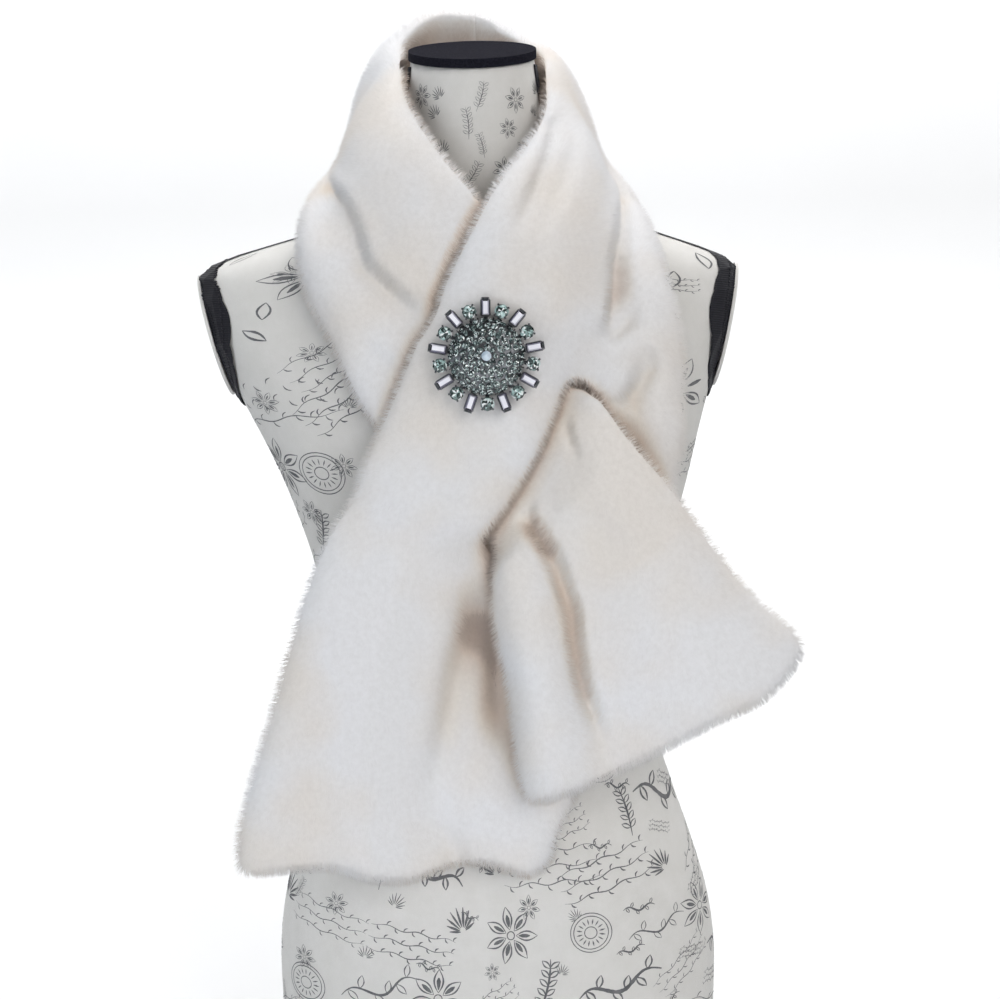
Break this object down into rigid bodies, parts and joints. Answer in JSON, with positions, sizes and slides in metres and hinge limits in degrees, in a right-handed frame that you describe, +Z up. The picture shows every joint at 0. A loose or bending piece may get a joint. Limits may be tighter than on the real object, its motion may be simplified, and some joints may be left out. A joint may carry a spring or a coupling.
{
  "type": "fur collar wrap on dress form",
  "caption": "A plush white fur collar wrap pulled through its own slit and held by a round jewelled brooch, worn by a limbless linen dress form that stands on its flat base.",
  "frame": {"origin": "the middle of the dress form's flat base, at mount base", "axes": "+Z up along the form's height, the front of the form and the brooch face -Y, +X to the viewer's right"},
  "size_m": [0.4158, 0.267, 0.7922],
  "materials": {
    "fur": "dense white plush faux fur, 9 mm pile, cream in the folds",
    "linen": "plain woven natural linen with grey pen flourishes",
    "ribbon": "black ribbed ribbon and felt",
    "setting": "dark plated metal setting",
    "baguette": "clear cut glass baguettes",
    "stone": "pale aqua cut glass stones"
  },
  "bodies": {
    "root": {"torso": "linen", "neck_cap": "ribbon", "armhole_trim_left": "ribbon", "arm_plate_left": "linen", "seam_trim_left": "ribbon", "armhole_trim_right": "ribbon", "arm_plate_right": "linen", "seam_trim_right": "ribbon", "over_collar": "fur", "over_band": "fur", "outer_band": "fur", "over_tail": "fur", "under_collar": "fur", "under_tail": "fur", "brooch_plate": "setting", "brooch_dome": "setting", "brooch_centre_stone": "stone", "baguette_1": "baguette", "round_stone_1": "stone", "baguette_2": "baguette", "round_stone_2": "stone", "baguette_3": "baguette", "round_stone_3": "stone", "baguette_4": "baguette", "round_stone_4": "stone", "baguette_5": "baguette", "round_stone_5": "stone", "baguette_6": "baguette", "round_stone_6": "stone", "baguette_7": "baguette", "round_stone_7": "stone", "baguette_8": "baguette", "round_stone_8": "stone", "baguette_9": "baguette", "round_stone_9": "stone"}
  },
  "joints": []
}
